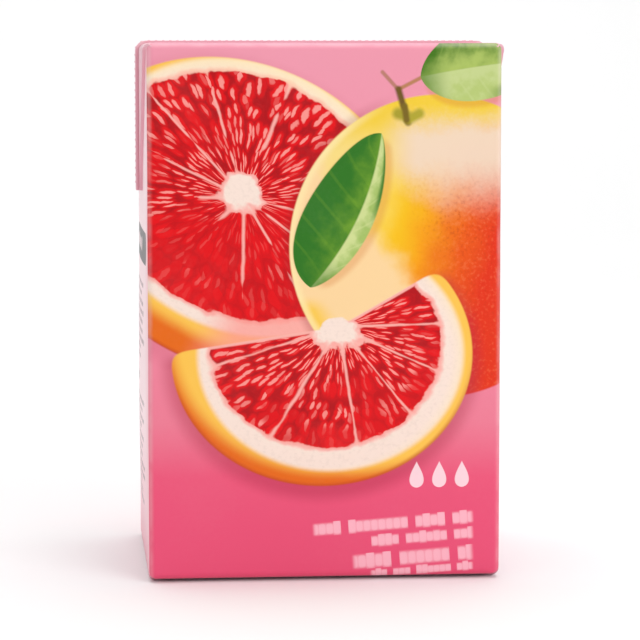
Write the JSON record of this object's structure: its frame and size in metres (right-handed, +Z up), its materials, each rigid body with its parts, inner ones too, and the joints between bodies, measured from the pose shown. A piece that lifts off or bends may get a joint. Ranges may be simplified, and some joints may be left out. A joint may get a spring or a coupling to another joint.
{
  "type": "juice carton",
  "caption": "Shut brick-shaped juice carton of laminated board, with folded corner ears, flat sealed fins and a citrus print, standing on its base.",
  "frame": {"origin": "on the standing plane, under the middle of the pack", "axes": "+Z up, the front panel faces -Y, +X to the right as seen from the front"},
  "size_m": [0.0954, 0.0826, 0.1408],
  "materials": {
    "printed_board": "glossy film over printed board"
  },
  "bodies": {
    "root": {"carton": "printed_board"}
  },
  "joints": []
}
